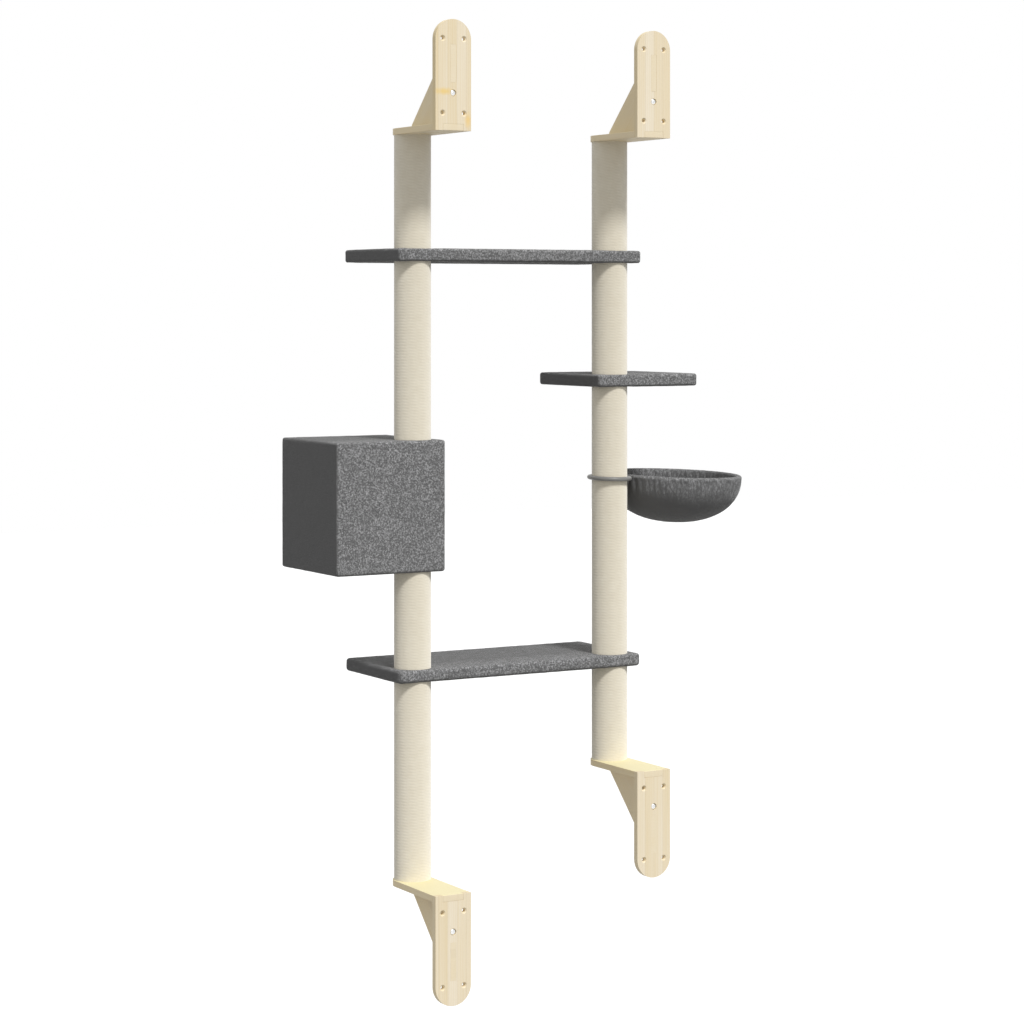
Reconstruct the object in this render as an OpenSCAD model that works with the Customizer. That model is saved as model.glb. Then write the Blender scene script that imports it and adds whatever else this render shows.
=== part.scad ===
// Wall mounted cat tree: two roped posts between pine wall brackets, carrying
// three plush shelves, a plush house and a swivelling cloth hammock.
// Millimetres, Z up. The wall is the plane Y = 0 and the room is on the +Y side.
// The origin is the centre of the lower left wall plate's four holes, on the wall.

/* [Brackets] */
// Width of a wall plate and of its arm
plate_w = 80; // [72:1:100]
// Length of a wall plate from its square end to its round tip
plate_l = 220; // [200:1:260]
// Thickness of the pine boards
board_t = 13; // [10:1:18]
// Distance from the wall to the axis of a post
post_stand = 172; // [160:1:200]
// Spacing of the wall holes across the plate
hole_dx = 48; // [40:1:54]
// Spacing of the wall holes along the plate
hole_dz = 147; // [130:1:150]
// Distance from the square end to the first row of wall holes
hole_end = 34.5; // [28:0.5:40]
// Bore of a wall hole
hole_d = 7; // [5:0.5:8]
// Width of the arm's tenon in the wall plate
tenon_w = 46; // [36:1:60]
// Leg of the gusset, from the inner corner along the plate and along the arm
gusset_leg = 157; // [140:1:165]
// Length of the gusset's tenon in the wall plate
gusset_tenon = 75; // [60:1:85]
// Distance from the square end to the gusset screw
screw_drop = 74; // [60:1:80]

/* [Posts] */
// Distance between the axes of the two posts
post_gap = 470; // [420:1:560]
// Outside diameter of a roped post
post_d = 75; // [68:0.5:76]
// Thickness of the layer of sisal rope
rope_t = 5; // [3:0.5:7]
// Wall of the cardboard core tube
core_t = 3; // [2:0.5:5]
// Thickness of the wooden plug in each end of a core tube
plug_t = 18; // [14:1:26]
// Left post: section from the lower arm to the lower shelf
left_foot_l = 402; // [360:1:440]
// Left post: section from the lower shelf to the house
left_low_l = 196; // [160:1:240]
// Left post: section from the house to the top shelf
left_high_l = 361; // [320:1:400]
// Both posts: section from the top shelf to the upper arm
head_l = 230; // [200:1:280]
// Right post: section from the lower arm to the lower shelf
right_foot_l = 198; // [160:1:240]
// Right post: section from the lower shelf to the small shelf
right_low_l = 563; // [520:1:590]

/* [Shelves] */
// Thickness of a shelf board
shelf_board_t = 15; // [12:1:18]
// Thickness of the plush on every covered face
plush_t = 5; // [3:0.5:6]
// Depth of the shelves, from the wall side to the room side
shelf_depth = 248; // [220:1:280]
// Width of the small shelf
small_shelf_w = 248; // [220:1:300]
// How far a shelf reaches past a post at its ends
end_margin = 15.5; // [10:0.5:30]
// How far a shelf and the house reach past a post on the wall side
wall_margin = 6; // [5:1:15]
// Plan radius of a shelf's corners
shelf_corner_r = 8; // [7:1:24]

/* [House] */
// Width of the house
house_w = 245; // [220:1:280]
// Depth of the house
house_d = 257; // [230:1:290]
// Height of the house
house_h = 266; // [240:1:300]
// Thickness of the panels of the house
panel_t = 9; // [8:1:12]
// Diameter of the round door in the front of the house
door_d = 170; // [150:1:180]

/* [Hammock] */
// Height of the hammock's eye above the lower shelf
hammock_h = 370; // [250:1:450]
// Radius of the hoop's centre line
hoop_r = 138; // [120:1:150]
// Diameter of the steel rod of the hoop and of the eye
rod_d = 9; // [7:0.5:10]
// Depth of the cloth bowl below the hoop
bowl_depth = 99; // [70:1:120]
// Fullness of the bowl's side: 2 is an ellipse and more is fuller
bowl_fullness = 2.2; // [2:0.1:3]
// Thickness of the bowl's cloth
cloth_t = 3; // [2:0.5:4]
// Direction in which the hammock points at rest, from +X towards the room
hammock_turn = 10; // [0:0.5:30]
// How far the hoop leans down towards the wall, in degrees
lean_to_wall = 1.6; // [0:0.1:3]
// How far the hoop hangs down at its free end, in degrees
lean_out = 1.2; // [0:0.1:3]

/* [Hidden] */
$fn = 64;

// Fits and small features
fit_gap = 0.1;          // clearance of a bolt, stud or screw in its hole
swivel_gap = 0.8;       // clearance of the hammock's eye around the post
overrun = 1;            // how far a cut runs past the face it leaves by
sink_d = 12;            // countersink of the wall holes, on both faces
sink_h = 2.5;           // depth of that countersink
rope_chamfer = 1.5;     // drawn-in rope at the ends of a post section

// Fasteners
bolt_r = 4;             // thread radius of bolts and studs
bolt_head_r = 7.5;      // countersunk head of a post bolt
bolt_head_h = 4;
bolt_bite = 30;         // length of a bolt beyond the board that it holds
key_r = 3;              // hexagon socket
key_h = 2.5;
screw_r = 2.25;         // shank of a gusset screw
screw_l = 42;
screw_head_r = 6;
screw_head_h = 3;
screw_seat_gap = 0.5;   // space around and over a gusset screw's head
cross_w = 1.2;          // arms of the screw's cross recess
cross_l = 6;
cross_h = 1.6;
washer_r = 11;          // washers inside the house
washer_t = 1.6;
cap_r = 7;              // domed heads of the house bolts
cap_h = 4;
gusset_gap = 1;         // from the gusset's nose to the head of the post bolt
gusset_nose = 6;        // least height of the gusset's blunt nose

// Levels, from the top face of the lower left arm upward
shelf_t = shelf_board_t + 2 * plush_t;
arm_low_z = hole_end + hole_dz / 2;
lower_shelf_z = arm_low_z + left_foot_l;
house_z = lower_shelf_z + shelf_t + left_low_l;
top_shelf_z = house_z + house_h + left_high_l;
arm_top_z = top_shelf_z + shelf_t + head_l;
right_arm_low_z = lower_shelf_z - right_foot_l;
small_shelf_z = lower_shelf_z + shelf_t + right_low_l;
eye_z = lower_shelf_z + shelf_t + hammock_h;

// Radii of a post's layers
post_r = post_d / 2;
core_r = post_r - rope_t;
plug_r = core_r - core_t;

// Edges of the shelves and the house
near_y = post_stand - post_r - wall_margin;
left_x = -post_r - end_margin;
right_x = post_gap + post_r + end_margin;
long_shelf_w = right_x - left_x;
house_x = post_r + end_margin - house_w;
shelf_edge_r = shelf_t * 0.18;
house_edge_r = plush_t * 0.6;

// Hammock: the hoop is welded to the outside of the eye
rod_r = rod_d / 2;
weld_bite = 0.8;
eye_r = post_r + swivel_gap + rod_r;
hoop_reach = eye_r + 2 * rod_r + hoop_r - weld_bite;
sleeve_r = rod_r + cloth_t / 2;
bowl_notch_gap = 0.7;   // between the cloth and the eye
bowl_steps = 18;        // straight facets down the side of the bowl

PINE = "#E9DBB8";
ROPE = "#E3DBC8";
PLUSH = "#5C5D60";
BOARD = "#C2A67C";
CARD = "#B59A74";
STEEL = "#D4D5D6";
COAT = "#55575A";

// Helpers

// Bore along +Y with a countersink on both faces of a board of thickness t
module countersunk_bore(t) {
    rotate([-90, 0, 0]) {
        translate([0, 0, -overrun]) cylinder(h = t + 2 * overrun, d = hole_d);
        cylinder(h = sink_h, d1 = sink_d, d2 = hole_d);
        translate([0, 0, t - sink_h]) cylinder(h = sink_h, d1 = hole_d, d2 = sink_d);
    }
}

// Disc of radius r and height h whose rims are rounded by e
module soft_disc(r, h, e) {
    steps = 4;
    low = [for (i = [0:steps]) [r - e + e * sin(90 * i / steps), e - e * cos(90 * i / steps)]];
    high = [for (i = [0:steps]) [r - e + e * cos(90 * i / steps), h - e + e * sin(90 * i / steps)]];
    rotate_extrude($fn = 32) polygon(concat([[0, 0]], low, high, [[0, h]]));
}

// Places the children at the four corners of a w by d plan, r in from its edges
module at_corners(w, d, r) {
    for (x = [r, w - r], y = [r, d - r]) translate([x, y, 0]) children();
}

// Puts a bracket piece, drawn with its square end at z = 0 and its tip below,
// on a post; an upper bracket is the same piece turned over
module on_post(x, z, upper) {
    translate([x, 0, z]) mirror([0, 0, upper ? 1 : 0]) children();
}

// Repeats the children on the four brackets
module on_brackets() {
    on_post(0, arm_top_z, true) children();
    on_post(post_gap, arm_top_z, true) children();
    on_post(0, arm_low_z, false) children();
    on_post(post_gap, right_arm_low_z, false) children();
}

// Brackets

module wall_plate() {
    round_r = plate_w / 2;
    color(PINE) difference() {
        union() {
            translate([-round_r, 0, -(plate_l - round_r)]) cube([plate_w, board_t, plate_l - round_r]);
            translate([0, 0, -(plate_l - round_r)]) rotate([-90, 0, 0]) cylinder(h = board_t, r = round_r);
        }
        for (x = [-hole_dx / 2, hole_dx / 2], drop = [hole_end, hole_end + hole_dz])
            translate([x, 0, -drop]) countersunk_bore(board_t);
        translate([-tenon_w / 2, -overrun, -board_t])
            cube([tenon_w, board_t + 2 * overrun, board_t + overrun]);
        translate([-board_t / 2, -overrun, -(board_t + gusset_leg)])
            cube([board_t, board_t + 2 * overrun, gusset_tenon]);
        translate([0, 0, -screw_drop]) rotate([-90, 0, 0]) {
            cylinder(h = board_t + overrun, r = screw_r + fit_gap);
            translate([0, 0, -overrun])
                cylinder(h = screw_head_h + screw_seat_gap + overrun, r = screw_head_r + screw_seat_gap);
        }
    }
}

// Flat board from the wall plate to a round end about the post's axis
module arm() {
    color(PINE) difference() {
        translate([0, 0, -board_t]) union() {
            translate([-plate_w / 2, board_t, 0]) cube([plate_w, post_stand - board_t, board_t]);
            translate([0, post_stand, 0]) cylinder(h = board_t, d = plate_w);
            translate([-tenon_w / 2, 0, 0]) cube([tenon_w, board_t + overrun, board_t]);
        }
        translate([0, post_stand, 0]) {
            translate([0, 0, -board_t - overrun])
                cylinder(h = board_t + 2 * overrun, r = bolt_r + fit_gap);
            translate([0, 0, -board_t])
                cylinder(h = bolt_head_h, r1 = bolt_head_r + fit_gap, r2 = bolt_r + fit_gap);
        }
    }
}

// Triangular brace at 45 degrees with a tenon through the wall plate
module gusset() {
    far_y = board_t + gusset_leg;
    nose_y = min(post_stand - bolt_head_r - gusset_gap, far_y - gusset_nose);
    color(PINE) difference() {
        translate([-board_t / 2, 0, 0]) rotate([90, 0, 90]) linear_extrude(board_t) polygon([
            [board_t, -board_t], [nose_y, -board_t], [nose_y, -board_t - (far_y - nose_y)],
            [board_t, -far_y], [0, -far_y], [0, -far_y + gusset_tenon], [board_t, -far_y + gusset_tenon]
        ]);
        translate([0, 0, -screw_drop]) rotate([-90, 0, 0]) cylinder(h = screw_l + screw_seat_gap, r = screw_r + fit_gap);
    }
}

// Pan head wood screw that holds the wall plate to the gusset's edge
module gusset_screw() {
    seat = screw_head_h + screw_seat_gap;
    dome_r = (screw_head_r * screw_head_r + screw_head_h * screw_head_h) / (2 * screw_head_h);
    color(STEEL) translate([0, 0, -screw_drop]) rotate([-90, 0, 0]) difference() {
        union() {
            intersection() {
                translate([0, 0, seat - screw_head_h + dome_r]) sphere(r = dome_r);
                translate([0, 0, seat - screw_head_h]) cylinder(h = screw_head_h, r = screw_head_r);
            }
            translate([0, 0, seat - fit_gap]) cylinder(h = screw_l - seat - screw_head_r, r = screw_r);
            translate([0, 0, screw_l - screw_head_r - fit_gap]) cylinder(h = screw_head_r, r1 = screw_r, r2 = fit_gap);
        }
        for (turn = [0, 90]) rotate([0, 0, turn])
            translate([-cross_l / 2, -cross_w / 2, -overrun]) cube([cross_l, cross_w, cross_h + overrun]);
    }
}

// Countersunk bolt from the arm into the plug of the post
module post_bolt() {
    color(STEEL) translate([0, post_stand, -board_t]) difference() {
        union() {
            cylinder(h = bolt_head_h, r1 = bolt_head_r, r2 = bolt_r);
            translate([0, 0, bolt_head_h - fit_gap]) cylinder(h = board_t + bolt_bite - bolt_head_h, r = bolt_r);
        }
        translate([0, 0, -overrun]) cylinder(h = key_h + overrun, r = key_r, $fn = 6);
    }
}

// Posts: each section is [x of its axis, z of its foot, length]
left_head = [0, top_shelf_z + shelf_t, head_l];
left_high = [0, house_z + house_h, left_high_l];
left_low = [0, lower_shelf_z + shelf_t, left_low_l];
left_foot = [0, arm_low_z, left_foot_l];
right_head = [post_gap, top_shelf_z + shelf_t, head_l];
right_high = [post_gap, small_shelf_z + shelf_t, top_shelf_z - small_shelf_z - shelf_t];
right_low = [post_gap, lower_shelf_z + shelf_t, right_low_l];
right_foot = [post_gap, right_arm_low_z, right_foot_l];

module at_section(s) {
    translate([s[0], post_stand, s[1]]) children();
}

// Sleeve of sisal rope wound on the core
module rope_sleeve(s) {
    l = s[2];
    c = rope_chamfer;
    color(ROPE) at_section(s) rotate_extrude() polygon([
        [core_r, 0], [post_r - c, 0], [post_r, c], [post_r, l - c], [post_r - c, l], [core_r, l]
    ]);
}

module core_tube(s) {
    color(CARD) at_section(s) rotate_extrude() translate([plug_r, 0]) square([core_t, s[2]]);
}

// Wooden discs in the two ends of a core tube, tapped for studs and bolts
module plug_pair(s) {
    color(BOARD) at_section(s) for (z = [0, s[2] - plug_t]) translate([0, 0, z]) difference() {
        cylinder(h = plug_t, r = plug_r);
        translate([0, 0, -overrun]) cylinder(h = plug_t + 2 * overrun, r = bolt_r + fit_gap);
    }
}

// Threaded stud through a shelf whose underside is at z, into the plugs on both sides
module shelf_stud(x, z) {
    color(STEEL) translate([x, post_stand, z - plug_t]) cylinder(h = shelf_t + 2 * plug_t, r = bolt_r);
}

module stud_hole(x, z, h) {
    translate([x, post_stand, z - overrun]) cylinder(h = h + 2 * overrun, r = bolt_r + fit_gap);
}

// Shelves: xs lists the posts that a shelf is threaded on

module shelf_board(x0, w, z, xs) {
    r = shelf_corner_r - plush_t;
    color(BOARD) difference() {
        translate([x0 + plush_t, near_y + plush_t, z + plush_t]) union() {
            translate([r, 0, 0]) cube([w - 2 * plush_t - 2 * r, shelf_depth - 2 * plush_t, shelf_board_t]);
            translate([0, r, 0]) cube([w - 2 * plush_t, shelf_depth - 2 * plush_t - 2 * r, shelf_board_t]);
            at_corners(w - 2 * plush_t, shelf_depth - 2 * plush_t, r) cylinder(h = shelf_board_t, r = r);
        }
        for (x = xs) stud_hole(x, z, shelf_t);
    }
}

// Plush wrapped round a shelf board
module shelf_plush(x0, w, z, xs) {
    r = shelf_corner_r - plush_t;
    color(PLUSH) difference() {
        translate([x0, near_y, z]) hull()
            at_corners(w, shelf_depth, shelf_corner_r) soft_disc(shelf_corner_r, shelf_t, shelf_edge_r);
        translate([x0 + plush_t, near_y + plush_t, z + plush_t]) union() {
            translate([r, 0, 0]) cube([w - 2 * plush_t - 2 * r, shelf_depth - 2 * plush_t, shelf_board_t]);
            translate([0, r, 0]) cube([w - 2 * plush_t, shelf_depth - 2 * plush_t - 2 * r, shelf_board_t]);
            at_corners(w - 2 * plush_t, shelf_depth - 2 * plush_t, r) cylinder(h = shelf_board_t, r = r);
        }
        for (x = xs) stud_hole(x, z, shelf_t);
    }
}

small_shelf_x = post_gap - post_r - end_margin;

// House: a box of six panels inside a plush cover
case_x = house_x + plush_t;
case_y = near_y + plush_t;
case_z = house_z + plush_t;
case_w = house_w - 2 * plush_t;
case_d = house_d - 2 * plush_t;
case_h = house_h - 2 * plush_t;
door_x = house_x + house_w / 2;
door_z = house_z + house_h / 2;

module door_hole(y, h) {
    translate([door_x, y, door_z]) rotate([-90, 0, 0]) cylinder(h = h, d = door_d);
}

module house_end_panel(y, has_door) {
    color(BOARD) difference() {
        translate([case_x, y, case_z]) cube([case_w, panel_t, case_h]);
        if (has_door) door_hole(y - overrun, panel_t + 2 * overrun);
    }
}

module house_side_panel(x) {
    color(BOARD) translate([x, case_y + panel_t, case_z]) cube([panel_t, case_d - 2 * panel_t, case_h]);
}

module house_flat_panel(z) {
    color(BOARD) difference() {
        translate([case_x + panel_t, case_y + panel_t, z])
            cube([case_w - 2 * panel_t, case_d - 2 * panel_t, panel_t]);
        stud_hole(0, z, panel_t);
    }
}

module house_plush() {
    e = house_edge_r;
    color(PLUSH) difference() {
        translate([house_x, near_y, house_z]) hull()
            for (z = [e, house_h - e]) at_corners(house_w, house_d, e) translate([0, 0, z]) sphere(r = e, $fn = 24);
        translate([case_x, case_y, case_z]) cube([case_w, case_d, case_h]);
        door_hole(case_y + case_d - overrun, plush_t + 2 * overrun);
        stud_hole(0, house_z, house_h);
    }
}

// Bolts from inside the house into the posts above and below it
module house_bolt(up) {
    inside = plush_t + panel_t + washer_t;
    dome_r = (cap_r * cap_r + cap_h * cap_h) / (2 * cap_h);
    translate([0, post_stand, up ? house_z + house_h : house_z]) mirror([0, 0, up ? 1 : 0]) {
        color(STEEL) difference() {
            union() {
                intersection() {
                    translate([0, 0, inside + cap_h - dome_r]) sphere(r = dome_r);
                    translate([0, 0, inside]) cylinder(h = cap_h, r = cap_r);
                }
                translate([0, 0, -plug_t]) cylinder(h = inside + plug_t + fit_gap, r = bolt_r);
            }
            translate([0, 0, inside + cap_h - key_h]) cylinder(h = key_h + overrun, r = key_r, $fn = 6);
        }
    }
}

module house_washer(up) {
    translate([0, post_stand, up ? house_z + house_h : house_z]) mirror([0, 0, up ? 1 : 0])
        color(STEEL) translate([0, 0, plush_t + panel_t]) difference() {
            cylinder(h = washer_t, r = washer_r);
            translate([0, 0, -overrun]) cylinder(h = washer_t + 2 * overrun, r = bolt_r + fit_gap);
        }
}

// Hammock

// Places the children on the hammock's plane, with the post's axis at their origin
module on_hammock() {
    translate([post_gap, post_stand, eye_z]) rotate([0, 0, hammock_turn])
        rotate([lean_to_wall, lean_out, 0]) children();
}

module ring(r) {
    rotate_extrude() translate([r, 0]) circle(r = rod_r, $fn = 32);
}

module hammock_hoop() {
    color(COAT) on_hammock() translate([hoop_reach, 0, 0]) ring(hoop_r);
}

module hammock_eye() {
    color(COAT) on_hammock() ring(eye_r);
}

// Points down the side of a bowl of radius r and depth d, from its rim to its axis
function bowl_side(r, d) = [for (i = [0:bowl_steps]) let (a = 90 * i / bowl_steps)
    [r * pow(cos(a), 2 / bowl_fullness), -d * pow(sin(a), 2 / bowl_fullness)]];

// Cloth bowl, sewn round the hoop as a sleeve that is open where the eye is welded on
module hammock_bowl() {
    rim_r = hoop_r + (rod_r + sleeve_r) / 2 + fit_gap;
    outer = bowl_side(rim_r, bowl_depth);
    inner = bowl_side(rim_r - cloth_t, bowl_depth - cloth_t);
    color(PLUSH) on_hammock() difference() {
        translate([hoop_reach, 0, 0]) union() {
            rotate_extrude() polygon([for (p = outer) p, for (i = [bowl_steps:-1:0]) inner[i]]);
            rotate_extrude() translate([hoop_r, 0]) circle(r = sleeve_r, $fn = 32);
        }
        translate([hoop_reach, 0, 0]) rotate_extrude() translate([hoop_r, 0]) circle(r = rod_r + fit_gap, $fn = 32);
        rotate_extrude() translate([eye_r, 0]) circle(r = rod_r + bowl_notch_gap, $fn = 32);
    }
}

on_post(0, arm_top_z, true) wall_plate();  // upper_left_wall_plate
on_post(0, arm_top_z, true) arm();  // upper_left_arm
on_post(0, arm_top_z, true) gusset();  // upper_left_gusset
on_post(post_gap, arm_top_z, true) wall_plate();  // upper_right_wall_plate
on_post(post_gap, arm_top_z, true) arm();  // upper_right_arm
on_post(post_gap, arm_top_z, true) gusset();  // upper_right_gusset
on_post(0, arm_low_z, false) wall_plate();  // lower_left_wall_plate
on_post(0, arm_low_z, false) arm();  // lower_left_arm
on_post(0, arm_low_z, false) gusset();  // lower_left_gusset
on_post(post_gap, right_arm_low_z, false) wall_plate();  // lower_right_wall_plate
on_post(post_gap, right_arm_low_z, false) arm();  // lower_right_arm
on_post(post_gap, right_arm_low_z, false) gusset();  // lower_right_gusset
on_brackets() gusset_screw();  // gusset_screws
on_brackets() post_bolt();  // post_bolts
rope_sleeve(left_head);  // left_head_rope
rope_sleeve(left_high);  // left_high_rope
rope_sleeve(left_low);  // left_low_rope
rope_sleeve(left_foot);  // left_foot_rope
rope_sleeve(right_head);  // right_head_rope
rope_sleeve(right_high);  // right_high_rope
rope_sleeve(right_low);  // right_low_rope
rope_sleeve(right_foot);  // right_foot_rope
core_tube(left_head);  // left_head_core
core_tube(left_high);  // left_high_core
core_tube(left_low);  // left_low_core
core_tube(left_foot);  // left_foot_core
core_tube(right_head);  // right_head_core
core_tube(right_high);  // right_high_core
core_tube(right_low);  // right_low_core
core_tube(right_foot);  // right_foot_core
for (s = [left_head, left_high, left_low, left_foot]) plug_pair(s);  // left_post_plugs
for (s = [right_head, right_high, right_low, right_foot]) plug_pair(s);  // right_post_plugs
union() {  // shelf_studs
    for (x = [0, post_gap], z = [top_shelf_z, lower_shelf_z]) shelf_stud(x, z);
    shelf_stud(post_gap, small_shelf_z);
}
for (up = [false, true]) house_bolt(up);  // house_bolts
for (up = [false, true]) house_washer(up);  // house_washers
shelf_board(left_x, long_shelf_w, top_shelf_z, [0, post_gap]);  // top_shelf_board
shelf_plush(left_x, long_shelf_w, top_shelf_z, [0, post_gap]);  // top_shelf_plush
shelf_board(small_shelf_x, small_shelf_w, small_shelf_z, [post_gap]);  // small_shelf_board
shelf_plush(small_shelf_x, small_shelf_w, small_shelf_z, [post_gap]);  // small_shelf_plush
shelf_board(left_x, long_shelf_w, lower_shelf_z, [0, post_gap]);  // lower_shelf_board
shelf_plush(left_x, long_shelf_w, lower_shelf_z, [0, post_gap]);  // lower_shelf_plush
house_end_panel(case_y, false);  // house_wall_panel
house_end_panel(case_y + case_d - panel_t, true);  // house_front_panel
house_side_panel(case_x);  // house_left_panel
house_side_panel(case_x + case_w - panel_t);  // house_right_panel
house_flat_panel(case_z + case_h - panel_t);  // house_top_panel
house_flat_panel(case_z);  // house_bottom_panel
house_plush();
hammock_hoop();
hammock_eye();
hammock_bowl();
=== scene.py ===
# Wall mounted cat tree: pine wall brackets hold two roped posts, which carry three plush
# shelves, a plush house and a cloth hammock that swivels. Everything is in metres, with the
# wall at Y = 0, the room on the +Y side and Z up.
import math

import bmesh
import bpy
from mathutils import Matrix, Vector, noise


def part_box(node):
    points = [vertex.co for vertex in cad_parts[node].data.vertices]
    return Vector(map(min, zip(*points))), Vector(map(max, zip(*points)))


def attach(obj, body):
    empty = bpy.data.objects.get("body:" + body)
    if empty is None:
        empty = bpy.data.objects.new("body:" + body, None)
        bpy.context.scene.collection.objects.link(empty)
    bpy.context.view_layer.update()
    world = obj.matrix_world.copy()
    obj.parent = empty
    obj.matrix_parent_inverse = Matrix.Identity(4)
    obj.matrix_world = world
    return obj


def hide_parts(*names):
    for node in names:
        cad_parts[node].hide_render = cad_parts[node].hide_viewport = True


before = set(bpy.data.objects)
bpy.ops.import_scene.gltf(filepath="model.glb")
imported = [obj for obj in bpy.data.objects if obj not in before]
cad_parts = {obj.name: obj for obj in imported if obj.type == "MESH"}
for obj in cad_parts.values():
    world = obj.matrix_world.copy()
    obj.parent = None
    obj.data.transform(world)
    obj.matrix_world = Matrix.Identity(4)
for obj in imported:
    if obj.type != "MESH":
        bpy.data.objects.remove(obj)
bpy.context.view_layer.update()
scene = bpy.context.scene
scene.view_settings.view_transform = "Standard"


# Stage
# A plain pale floor well below the tree, which hangs on its brackets, one soft lamp high in
# front of the wall side and an even white sky. The level camera looks at the wall side.
camera_place = (-2.57857, -4.70280, 1.26981)
camera_turn = math.radians(-29.97)
camera_lens = 95.69
camera_shift = -0.2024
level_gaze = math.radians(90)
towards_lamp = (0.07, -1.0, 1.22)
lamp_power = 2.42
lamp_spread = math.radians(11)
sky_level = 0.60
floor_level = -0.9
floor_side = 40.0
floor_bounce = 0.30
floor_roughness = 0.9


def paint(red, green, blue):
    """A colour picked on a 0 to 255 chart, as the linear values that a shader takes."""
    parts = [value / 255 for value in (red, green, blue)]
    return tuple(p / 12.92 if p < 0.04045 else ((p + 0.055) / 1.055) ** 2.4 for p in parts) + (1.0,)


def put(tree, kind, inputs=None, **settings):
    """A new node with its settings, and its inputs set to values or linked from sockets."""
    made = tree.nodes.new(kind)
    for key, value in settings.items():
        setattr(made, key, value)
    for key, value in (inputs or {}).items():
        if isinstance(value, bpy.types.NodeSocket):
            tree.links.new(value, made.inputs[key])
        else:
            made.inputs[key].default_value = value
    return made


def seen_directly(tree):
    """1 for rays from the camera, from gloss and through glass, and 0 for light on the tree."""
    path = tree.nodes.new("ShaderNodeLightPath")
    gloss = put(tree, "ShaderNodeMath", {0: path.outputs["Is Glossy Ray"],
                                         1: path.outputs["Is Transmission Ray"]}, operation="MAXIMUM")
    return put(tree, "ShaderNodeMath", {0: path.outputs["Is Camera Ray"], 1: gloss.outputs[0]},
               operation="MAXIMUM").outputs[0]


def between(tree, factor, low, high):
    """A value that goes from low to high as the factor goes from 0 to 1."""
    return put(tree, "ShaderNodeMapRange", {"Value": factor, "To Min": low, "To Max": high}).outputs[0]


world = bpy.data.worlds.new("white_sky")
world.use_nodes = True
scene.world = world
sky = world.node_tree.nodes["Background"]
sky.inputs["Color"].default_value = (1, 1, 1, 1)
world.node_tree.links.new(between(world.node_tree, seen_directly(world.node_tree), sky_level, 1.0),
                          sky.inputs["Strength"])

lamp_light = bpy.data.lights.new("studio_lamp", "SUN")
lamp_light.energy = lamp_power
lamp_light.angle = lamp_spread
lamp = bpy.data.objects.new("studio_lamp", lamp_light)
lamp.rotation_euler = Vector(towards_lamp).to_track_quat("Z", "Y").to_euler()
scene.collection.objects.link(lamp)

camera_eye = bpy.data.cameras.new("camera")
camera_eye.sensor_fit = "HORIZONTAL"
camera_eye.lens = camera_lens
camera_eye.shift_y = camera_shift
camera = bpy.data.objects.new("camera", camera_eye)
camera.location = camera_place
camera.rotation_euler = (level_gaze, 0, camera_turn)
scene.collection.objects.link(camera)
scene.camera = camera


def blank_finish(name, roughness):
    """A new material, with its node tree and its shader."""
    material = bpy.data.materials.new(name)
    material.use_nodes = True
    shader = material.node_tree.nodes["Principled BSDF"]
    shader.inputs["Roughness"].default_value = roughness
    return material, material.node_tree, shader


def piece_from(work, name, finish):
    """An object made of a bmesh, at the origin, with its finish."""
    mesh = bpy.data.meshes.new(name)
    work.to_mesh(mesh)
    work.free()
    mesh.materials.append(finish)
    made = bpy.data.objects.new(name, mesh)
    scene.collection.objects.link(made)
    return made


floor_finish, tree, shader = blank_finish("pale_floor", floor_roughness)
floor_shade = between(tree, seen_directly(tree), floor_bounce, 1.0)
tree.links.new(floor_shade, shader.inputs["Base Color"])
shader.inputs["Specular IOR Level"].default_value = 0.0
work = bmesh.new()
bmesh.ops.create_grid(work, x_segments=1, y_segments=1, size=floor_side / 2,
                      matrix=Matrix.Translation((0, 0, floor_level)))
piece_from(work, "floor", floor_finish)


# Wall plates
# Four pine boards, one end rounded, glued up from strips that run along the board. Each has
# four countersunk wall holes, and takes the tenons of its arm and gusset right through.
corner_names = ("upper_left", "upper_right", "lower_left", "lower_right")
edge_ease = 0.0008
flat_within = math.radians(0.5)
sharp_from = math.radians(35)
merge_reach = 2e-6
strip_width = 0.021
first_joint = 0.0105
joint_width = 0.025
joint_depth = 0.25
cut_deeper = 0.37
cut_higher = 0.71
strips_apart = 17.0
strip_shift = 3.0
wander_scale = 4.0
wander_reach = 0.004
grain_stretch = (1.0, 1.0, 0.05)
ring_scale = 60.0
ring_sway = 5.0
ring_share = 0.3
tone_share = 0.45
fibre_scale = 900.0
fibre_share = 0.16
blotch_scale = 45.0
blotch_middle = 0.4
blotch_share = 0.8
streak_scale = 120.0
streak_ragged = 0.6
streak_full = 0.5
streak_gone = 1.3
top_light_from = 0.4
top_light_full = 0.9
planed_from = 0.7
planed_full = 0.95
side_shade_share = 0.36
plate_seed = 1
fibre_height = 0.5
pine_roughness = 0.55
pine_relief = 0.0002
pine_pale = paint(243, 233, 213)
pine_warm = paint(228, 208, 165)
pine_fibre = paint(196, 172, 130)
pine_joint = paint(170, 145, 105)
# Painted top light, for faces that look up.
pine_top_light = paint(249, 246, 203)
# Painted shade, for faces that look neither to the wall nor to the room.
pine_side_shade = paint(222, 200, 146)
pine_planed = paint(233, 218, 187)


def mixed(tree, factor, first, second):
    """The colour that a factor gives between two colours."""
    node = put(tree, "ShaderNodeMix", data_type="RGBA")
    for index, value in ((0, factor), (6, first), (7, second)):
        if isinstance(value, bpy.types.NodeSocket):
            tree.links.new(value, node.inputs[index])
        else:
            node.inputs[index].default_value = value
    return node.outputs[2]


def sums(tree, operation, first, second=0.0):
    """One step of arithmetic between two values or sockets."""
    return put(tree, "ShaderNodeMath", {0: first, 1: second}, operation=operation).outputs[0]


def vectors(tree, operation, first, second):
    """One step of arithmetic between two vectors."""
    return put(tree, "ShaderNodeVectorMath", {0: first, 1: second}, operation=operation).outputs[0]


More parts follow.
